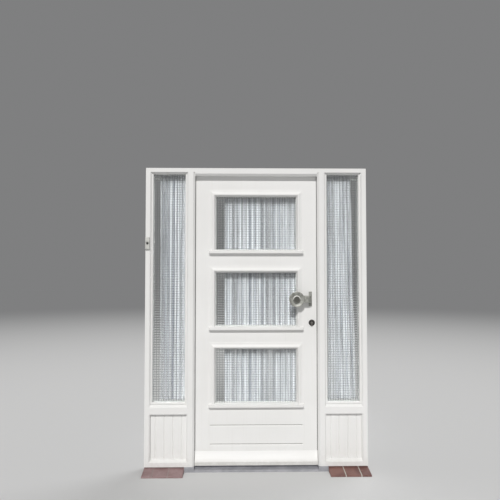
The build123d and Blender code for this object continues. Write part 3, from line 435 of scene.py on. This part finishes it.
def moulded(name, light, dark, rough):
    """Moulded plastic or enamel: a fine orange-peel skin and a little greying."""
    finish = Finish(name)
    clouds = finish.noise(45.0, 4.0, 0.6)
    peel = finish.noise(900.0, 2.0, 0.5)
    finish.colour(finish.blend(finish.remap(clouds, 0.35, 0.7), light, dark))
    finish.roughness(finish.scaled(clouds, 0.2, rough))
    finish.bump(peel, 0.00012, 0.4)
    return finish


# The spacing of the net's threads across the cloth and along it, and how tightly its denser
# and thinner strips follow each other across it
WARP, WEFT, STRIPS = 0.0014, 0.0019, (105.0, 1.0, 1.0)


def net_finish():
    """White net: warp and weft threads on the cloth's own map, with small gaps between them.

    Deep in the folds it has a painted shade, greyer there, and it is more open where it is
    gathered less.
    """
    finish = Finish("white_net", roughness=0.85, Sheen_Weight=0.25, Sheen_Roughness=0.5)
    cloth = finish.own_map("cloth")
    threads = [
        finish.math("ABSOLUTE", finish.math("SINE", finish.times(way, pi / pitch)))
        for way, pitch in zip(finish.parts(cloth), (WARP, WEFT))
    ]
    gap = finish.times(*threads)
    strips = finish.noise(1.0, 3.0, 0.6, finish.stretched(STRIPS, along=cloth))
    gathers = finish.remap(strips, 0.38, 0.58)
    fold, thin = finish.attribute("fold"), finish.attribute("thin")
    # painted shade: greyer deep in the folds
    finish.colour(finish.blend(fold, (0.87, 0.88, 0.92), (0.24, 0.26, 0.31)))
    woven = finish.remap(gap, 0.25, 0.85, 1.0, 0.76)
    cover = finish.times(woven, finish.scaled(gathers, 0.62, 0.36))
    finish.shade("Alpha", finish.times(cover, finish.scaled(thin, -0.52, 1.0)))
    finish.bump(gap, 0.0003, 0.5)
    return finish


# Each finish: the name of its slot, and its material
FINISHES = {
    "upright": ("white_paint", paint("satin_paint_upright", UPRIGHT)),
    "leaf": ("white_paint", leaf_paint()),
    "level": ("white_paint", paint("satin_paint_level", LEVEL)),
    # the weather bar's nose is greyed: partly dusted, partly painted shade
    "foot": ("white_paint", paint("satin_paint_foot", LEVEL, dust_and_shade=0.42, dusty=(0.052, 0.078))),
    "bead": ("bead_paint", paint("satin_paint_bead", BEADED, BEAD, BEAD_DEEP, shine=0.42)),
    "glass": ("patterned_glass", glass_finish()),
    "stone": ("step_stone", stone_finish()),
    "clay": ("clay_tile", tile_finish(
        "fired_clay", dark=(0.150, 0.066, 0.058), light=(0.235, 0.118, 0.10),
        pale=(0.33, 0.19, 0.16))),
    # the left tiles: their own purple tone, made paler and pinker by a painted sheen
    "sheened clay": ("clay_tile", tile_finish(
        "purple_clay_painted_sheen", dark=(0.240, 0.150, 0.148), light=(0.325, 0.220, 0.220),
        pale=(0.43, 0.33, 0.33))),
    "mortar": ("mortar", mortar_finish(
        "pointing", dark=(0.42, 0.40, 0.36), light=(0.64, 0.62, 0.57))),
    "soiled mortar": ("mortar", mortar_finish(
        "soiled_pointing", dark=(0.26, 0.20, 0.19), light=(0.38, 0.32, 0.30))),
    "rubber": ("rubber_seal", rubber_finish()),
    "steel": ("satin_steel", metal(
        "satin_steel", light=(0.62, 0.62, 0.60), dark=(0.50, 0.50, 0.48), rough=0.22,
        grain=DRAWN)),
    "knob": ("knob_metal", knob_finish()),
    "rose": ("dark_rose", metal(
        "bronzed_rose", light=(0.10, 0.095, 0.09), dark=(0.05, 0.048, 0.045), rough=0.34,
        grain=TURNED, metallic=0.85)),
    "brass": ("cylinder_brass", metal(
        "nickelled_brass", light=(0.36, 0.345, 0.32), dark=(0.22, 0.21, 0.195), rough=0.30,
        grain=TURNED, stain=(0.10, 0.09, 0.07), stained=0.4)),
    "plastic": ("bell_plastic", moulded(
        "greyed_plastic", light=(0.70, 0.70, 0.67), dark=(0.56, 0.56, 0.53), rough=0.36)),
    "button": ("bell_dark", moulded(
        "dark_button", light=(0.035, 0.035, 0.034), dark=(0.06, 0.06, 0.058), rough=0.22)),
    "net": ("net_fabric", net_finish()),
    "enamel": ("rod_metal", moulded(
        "rod_enamel", light=(0.84, 0.84, 0.82), dark=(0.76, 0.76, 0.73), rough=0.20)),
}


def each(names, ends):
    """Every name with every end."""
    return [f"{name}_{end}" for name in names for end in ends]


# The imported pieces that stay, by finish
CARRIED = {
    "leaf": ["leaf_slab"],
    "upright": each(["jamb", "mullion", "boarding"], SIDES),
    "foot": ["weather_bar"],
    "level": ["head_rail"] + each(["bottom_rail", "transom"], SIDES),
    "bead": each(["side_beads"], SIDES)
            + each(["pane_moulding", "pane_sill", "inner_beads"], PANES),
    "stone": ["threshold"] + each(["plinth_block"], SIDES),
    "clay": ["sill_tiles_right"],
    "sheened clay": ["sill_tiles_left"],
    "mortar": ["tile_joints_right"],
    "soiled mortar": ["tile_joints_left"],
    "rubber": ["door_seal"],
    "steel": ["hinge_plates_frame", "hinge_pins", "hinge_plates_leaf", "strike_plate",
              "mortise_lock", "dead_bolt", "latch_bolt", "handle_plate", "lever", "thumb_turn",
              "knob_screws"],
    "knob": ["knob_plate", "pull_knob"],
    "rose": ["lock_rose"],
    "brass": ["lock_cylinder"],
    "plastic": ["bell_box"],
    "button": ["bell_button"],
    "enamel": ["leaf_rod"] + each(["bay_rod"], SIDES),
}


def dress_carried():
    """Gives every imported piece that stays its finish."""
    for finish, names in CARRIED.items():
        material = FINISHES[finish][1].material
        for name in names:
            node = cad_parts[name]
            if not node.material_slots:
                node.data.materials.append(material)
            for held in node.material_slots:
                held.material = material


dress_carried()


# New pieces
def surface(name, points, faces, finish, body, smooth=True):
    """A mesh piece from an array of points and its faces, on a body, with its finish."""
    mesh = bpy.data.meshes.new(name)
    mesh.from_pydata(np.asarray(points, float).tolist(), [], faces)
    mesh.polygons.foreach_set("use_smooth", np.full(len(mesh.polygons), smooth))
    mesh.update()
    piece = place(name, mesh)
    slot, dressed = FINISHES[finish]
    mesh.materials.append(dressed.material)
    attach(piece, body)
    return piece


def grid_faces(rows, columns):
    """The squares of a grid whose points run row by row, each turned the same way round."""
    corner = (np.arange(rows - 1)[:, None] * columns + np.arange(columns - 1)).ravel()
    return np.stack([corner, corner + 1, corner + columns + 1, corner + columns], axis=1)


def grid_rim(rows, columns):
    """The points round a grid's edge, in order."""
    inside = np.arange(rows * columns).reshape(rows, columns)
    return np.concatenate([inside[0, :-1], inside[:-1, -1], inside[-1, :0:-1], inside[:0:-1, 0]])


def grid_places(across, up):
    """A pair of distances for each point of a grid, from those of its columns and its rows."""
    return np.stack(np.meshgrid(across, up), axis=-1).reshape(-1, 2)


def corner_points(mesh):
    """The point at each corner of each face."""
    corner = np.empty(len(mesh.loops), int)
    mesh.loops.foreach_get("vertex_index", corner)
    return corner


def lay_map(mesh, name, places):
    """A map on the mesh, from a pair of distances for each corner of each face."""
    mesh.uv_layers.new(name=name).data.foreach_set("uv", places.ravel())


# Width of the glass's squares, the steps across each of them, their rise above the valleys,
# and the middle of a square on the map
SQUARE, CUTS, RELIEF, SQUARE_MIDDLE = 0.0168, 4, 0.0018, 0.5


def embossed_pane(name, node, body):
    """Glass with a front of small raised squares.

    Across each square a and b run from -1 to 1, and the front stands
    RELIEF * (1 - |a|^3) * (1 - |b|^3) above its valleys; the back is flat.
    """
    low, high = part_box(node)
    across, up = round((high.x - low.x) / SQUARE), round((high.z - low.z) / SQUARE)
    columns, rows = across * CUTS + 1, up * CUTS + 1
    x, z = np.meshgrid(np.linspace(low.x, high.x, columns), np.linspace(low.z, high.z, rows))
    a, b = (2.0 * (np.arange(n) % CUTS) / CUTS - 1.0 for n in (columns, rows))
    dome = (1.0 - abs(a[None, :]) ** 3) * (1.0 - abs(b[:, None]) ** 3)
    front = np.stack([x, low.y + RELIEF * (1.0 - dome), z], axis=-1).reshape(-1, 3)

    rim = grid_rim(rows, columns)
    back = front[rim].copy()
    back[:, 1] = high.y
    around = len(front) + np.arange(len(rim))
    faces = grid_faces(rows, columns).tolist()
    squares = len(faces)
    faces += np.stack([np.roll(rim, -1), rim, around, np.roll(around, -1)], axis=1).tolist()
    faces.append(around[::-1].tolist())
    pane = surface(name, np.vstack([front, back]), faces, "glass", body)
    pane.data.polygons.foreach_set("use_smooth", np.arange(len(faces)) < squares)

    counted = grid_places(np.arange(columns) / CUTS, np.arange(rows) / CUTS)
    counted = np.vstack([counted, np.full((len(rim), 2), SQUARE_MIDDLE)])
    placed = counted[corner_points(pane.data)]
    placed[4 * squares:] = SQUARE_MIDDLE
    lay_map(pane.data, "squares", placed)
    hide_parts(node)


for side in SIDES:
    embossed_pane(f"embossed_side_glass_{side}", f"side_glass_{side}", "frame")
for pane in PANES:
    embossed_pane(f"embossed_glass_{pane}", f"pane_glass_{pane}", "leaf")


# The nets' grid: its step across, its rows from the hem up, and the row that is laid flat
NET_STEP, NET_ROWS, LAID_ROW = 0.0015, 46, 20
# The cloth's thickness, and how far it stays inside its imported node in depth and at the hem
CLOTH, DEPTH_MARGIN, HEM_MARGIN = 0.0005, 0.0006, 0.0008
# The casing: its slack round the rod, the drop to its seam, and the rise of its frill
CASING_SLACK, SEAM_DROP, FRILL = 0.0013, 0.012, 0.011
# The least and greatest pace of folds and of ripples, and swell of folds
FOLD_PACE, RIPPLE_PACE, SWELL = (0.40, 1.7), (0.35, 1.75), (0.45, 1.0)
# A ripple's length, the number of its paces, and the shares of folds and ripples in the wave
RIPPLE, RIPPLE_PACES, FOLD_SHARE, RIPPLE_SHARE = 0.0135, 60, 0.78, 0.22
# The share of the full depth that the wave has at the casing, what it gains below, how fast
REACH, REACH_GAIN, REACH_PACE = 0.16, 0.84, 9.0
# The share of the drop in which the cloth leaves the rod's front, its sway and its flutter
EASING, SWAY, FLUTTER = 0.06, 0.0012, 0.0007


def across_the_cloth(pick, folds, width, columns):
    """What changes from one edge of the cloth to the other.

    These are the share u of the width, the phase of the folds, which runs at an uneven pace,
    the phase of the finer ripples, and how far each fold swells.
    """
    u = np.linspace(0.0, 1.0, columns)
    pace = np.interp(u, np.linspace(0.0, 1.0, folds + 2), pick.uniform(*FOLD_PACE, folds + 2))
    phase = np.cumsum(pace)
    phase = 2.0 * pi * folds * (phase - phase[0]) / (phase[-1] - phase[0])
    pace = pick.uniform(*RIPPLE_PACE, RIPPLE_PACES)[(u * (RIPPLE_PACES - 1)).astype(int)]
    fine = 2.0 * pi * np.cumsum(pace) / columns * width / RIPPLE
    swell = np.interp(u, np.linspace(0.0, 1.0, folds * 2), pick.uniform(*SWELL, folds * 2))
    return u, phase, fine, swell


def over_the_rod(around):
    """The casing's section: up in front of the rod, through the frill and down behind it.

    Each row is a depth as a share of around and a height above the rod's axis.
    """
    climb = [(-1.0, -0.004), (-1.0, 0.0), (-0.75, around * 0.75), (-0.35, around + 0.001),
             (-0.28, around + FRILL * 0.5), (-0.12, around + FRILL)]
    descent = [(-depth, height) for depth, height in reversed(climb)]
    tuck = [(0.55, -around - 0.003), (0.3, -around - 0.008)]
    return np.array(climb + descent + tuck)


def run_length(line):
    """How far along a line of points each of them is."""
    return np.concatenate([[0.0], np.cumsum(np.linalg.norm(np.diff(line, axis=0), axis=1))])


def net_curtain(name, node, rod, body, seed, folds, thin, spread=0.0):
    """A gathered net on its rod.

    The cloth's depth is reach(v) * wave(u). The wave is a sine of a phase that runs at an
    uneven pace, plus finer ripples. The reach grows from the casing to the hem, where the
    cloth is also wider by spread towards its free edge. The rows climb the drop, pass over
    the rod as a flat tube, and come down behind it. Each thin stretch is a bell curve: its
    middle and its width, as shares of the cloth's width.
    """
    low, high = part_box(node)
    rod_low, rod_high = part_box(rod)
    rod_y, rod_z = (rod_low.y + rod_high.y) / 2, (rod_low.z + rod_high.z) / 2
    around = (rod_high.z - rod_low.z) / 2 + CASING_SLACK
    middle, depth = (low.y + high.y) / 2, (high.y - low.y) / 2 - DEPTH_MARGIN
    width = high.x - low.x
    columns = int(width / NET_STEP) + 1
    pick = np.random.default_rng(seed)
    u, phase, fine, swell = across_the_cloth(pick, folds, width, columns)

    # The drop, with a row for each height: fall is 0 at the casing and 1 at the hem
    drop = np.linspace(low.z + HEM_MARGIN, rod_z - SEAM_DROP, NET_ROWS)[:, None]
    fall = (drop[-1] - drop) / (drop[-1] - drop[0])
    lean = 0.9 * np.sin(2.2 * fall + seed)
    folded = FOLD_SHARE * swell * np.sin(phase + lean * 0.5)
    wave = folded + RIPPLE_SHARE * np.sin(fine + 0.4 * lean)
    easing = np.clip(fall / EASING, 0.0, 1.0) ** 0.7
    reach = (REACH + REACH_GAIN * (1.0 - np.exp(-REACH_PACE * fall))) * depth
    front = (rod_y - around) + (middle - rod_y + around) * easing
    x = low.x + (width + spread * fall ** 1.4) * u + SWAY * np.sin(phase * 0.5 + 3.0 * fall)
    y = front + reach * wave * (0.12 + 0.88 * easing)
    z = np.repeat(drop, columns, axis=1)

    # The casing above it, in which the frill flutters three times as far as the rest
    turn = over_the_rod(around)
    steps = len(turn)
    in_frill = turn[:, 1:] > around + 0.002
    flutter = FLUTTER * np.sin(fine * 1.3) * (1.0 + 2.0 * in_frill)
    x = np.vstack([x, np.repeat(x[-1:], steps, axis=0)])
    y = np.vstack([y, rod_y + turn[:, :1] * around + flutter])
    z = np.vstack([z, np.repeat(rod_z + turn[:, 1:], columns, axis=1)])
    points = np.stack([x, y, z], axis=-1)
    rows = NET_ROWS + steps
    faces = grid_faces(rows, columns).tolist()
    curtain = surface(name, points.reshape(-1, 3), faces, "net", body)

    # How deep each point lies in its fold, which sets the painted shade there, and how thinly
    # the cloth is gathered there
    deep = 0.5 + 0.5 * np.sin(phase + 0.5 * lean) * (0.35 + 0.65 * swell)
    deep = np.clip(deep, 0.0, 1.0) ** 4.0
    # the casing gets a weaker painted shade
    deep = np.vstack([deep, np.repeat(0.3 * deep[-1:], steps, axis=0)])
    sparse = sum(np.exp(-(((u - at) / wide) ** 2)) for at, wide in thin)
    sparse = np.tile(np.clip(sparse, 0.0, 1.0), rows)
    for held, values in (("fold", deep.ravel()), ("thin", sparse)):
        curtain.data.attributes.new(held, "FLOAT", "POINT").data.foreach_set("value", values)

    # The cloth laid flat
    sideways, upwards = run_length(points[LAID_ROW]), run_length(points[:, 0])
    cut = grid_places(sideways, upwards)
    lay_map(curtain.data, "cloth", cut[corner_points(curtain.data)])
    skin = curtain.modifiers.new("cloth_thickness", "SOLIDIFY")
    skin.thickness = CLOTH
    skin.offset = 0.0
    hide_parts(node)


net_curtain("net_leaf", "leaf_curtain", "leaf_rod", "leaf",
            seed=3, folds=13, thin=((0.14, 0.05), (0.60, 0.10)))
net_curtain("net_bay_left", "bay_curtain_left", "bay_rod_left", "frame",
            seed=5, folds=7, thin=((0.0, 0.40),))
net_curtain("net_bay_right", "bay_curtain_right", "bay_rod_right", "frame",
            seed=8, folds=8, thin=((0.12, 0.22), (1.0, 0.16)), spread=0.034)


# Screws
SCREW_RADIUS = 0.0036
# For each way that a head faces, the two directions across it and the one out of it
FACING = {
    "+x": ((0, 1, 0), (0, 0, 1), (1, 0, 0)),
    "-x": ((0, 0, 1), (0, 1, 0), (-1, 0, 0)),
    "+y": ((0, 0, 1), (1, 0, 0), (0, 1, 0)),
}


def screw_heads(name, body, places):
    """Flat screw heads with a cross recess, one at each place.

    A place is the middle of a head's seat and the way that the head faces. A head is rings
    of points round its axis. The recess is a plus sign, with arms that end at long from the
    axis and reach arm to each side, so its radius at each angle is the smaller of long / wide
    and arm / thin: wide and thin are the larger and the smaller of |cos| and |sin|.
    """
    radius = SCREW_RADIUS
    arm, long = 0.16 * radius, 0.58 * radius
    corner = np.arctan2(arm, long)
    halfway = 0.5 * (corner + pi / 4)
    quarter = np.array([0.0, corner, halfway, pi / 4, pi / 2 - halfway, pi / 2 - corner])
    angle = np.concatenate([quarter + pi / 2 * turn for turn in range(4)])
    u, v = abs(np.cos(angle)), abs(np.sin(angle))
    wide, thin = np.maximum(u, v), np.minimum(u, v)
    plus = np.minimum(long / wide, arm / np.maximum(thin, 1e-9))

    # Radius and height of each ring, from the back edge over the face into the recess
    floor = -0.0002
    rings = [(radius, -0.0003), (radius, 0.0001), (0.92 * radius, 0.00045),
             (plus, 0.0005), (0.9 * plus, floor)]
    count = len(angle)
    local = [
        np.stack([r * np.cos(angle), r * np.sin(angle), np.full(count, height)], axis=1)
        for r, height in rings
    ]
    local = np.vstack(local + [np.array([[0.0, 0.0, floor]])])
    here = np.arange(count)
    ahead = np.roll(here, -1)
    ring = np.arange(len(rings) - 1)[:, None] * count
    quads = [ring + here, ring + ahead, ring + count + ahead, ring + count + here]
    quads = np.stack(quads, axis=-1).reshape(-1, 4)
    last = (len(rings) - 1) * count
    fan = np.stack([last + here, last + ahead, np.full(count, len(local) - 1)], axis=1)

    points, faces = [], []
    for number, (middle, way) in enumerate(places):
        start = number * len(local)
        points.append(np.array(middle) + local @ np.array(FACING[way], float))
        faces += (quads + start).tolist() + (fan + start).tolist()
        faces.append((here[::-1] + start).tolist())
    surface(name, np.vstack(points), faces, "steel", body, smooth=False)


# Seats of the screws: the hinges' heights, and depth and rise of each row in a hinge plate
HINGES, HINGE_ROWS = (0.250, 1.045, 1.840), ((0.070, -0.032), (0.080, 0.0), (0.070, 0.032))
# Faces of the hinge plates on the leaf and on the frame, and of the lock and the strike plate
LEAF_PLATE, FRAME_PLATE, LOCK_FACE, STRIKE_FACE = -0.4405, -0.4425, 0.440, 0.443
# Depth of the lock's middle, and the handle plate's middle and face
LOCK_DEPTH, HANDLE_MIDDLE, HANDLE_FACE = 0.070, 0.390, 0.097

screw_heads("leaf_screws", "leaf",
            [((LEAF_PLATE, y, z + rise), "-x") for z in HINGES for y, rise in HINGE_ROWS]
            + [((LOCK_FACE, LOCK_DEPTH, z), "+x") for z in (0.937, 1.151)]
            + [((HANDLE_MIDDLE, HANDLE_FACE, z), "+y") for z in (0.951, 1.155)])
screw_heads("frame_screws", "frame",
            [((FRAME_PLATE, y, z + rise), "+x") for z in HINGES for y, rise in HINGE_ROWS]
            + [((STRIKE_FACE, LOCK_DEPTH, z), "-x") for z in (0.934, 1.019, 1.096)])


# The floor: half its side, its colour near the door and far from it, and where that changes
FLOOR_REACH = 30.0
NEAR_FLOOR, FAR_FLOOR, FLOOR_CHANGE = (0.66, 0.66, 0.66), (0.246, 0.2476, 0.2512), (2.5, 16.0)


def add_floor():
    """A wide pale floor, which far from the door takes on the room's grey."""
    mesh = bpy.data.meshes.new("studio_floor")
    corners = [(-1, -1), (1, -1), (1, 1), (-1, 1)]
    mesh.from_pydata([(x * FLOOR_REACH, y * FLOOR_REACH, 0.0) for x, y in corners], [],
                     [(0, 1, 2, 3)])
    floor = place("studio_floor", mesh)
    finish = Finish("studio_floor", roughness=0.9, Specular_IOR_Level=0.0)
    span = finish.node("VectorMath")
    span.operation = "LENGTH"
    finish.links.new(finish.where, span.inputs[0])
    far = finish.remap(span.outputs["Value"], *FLOOR_CHANGE)
    finish.colour(finish.blend(far, NEAR_FLOOR, FAR_FLOOR))
    mesh.materials.append(finish.material)


add_floor()
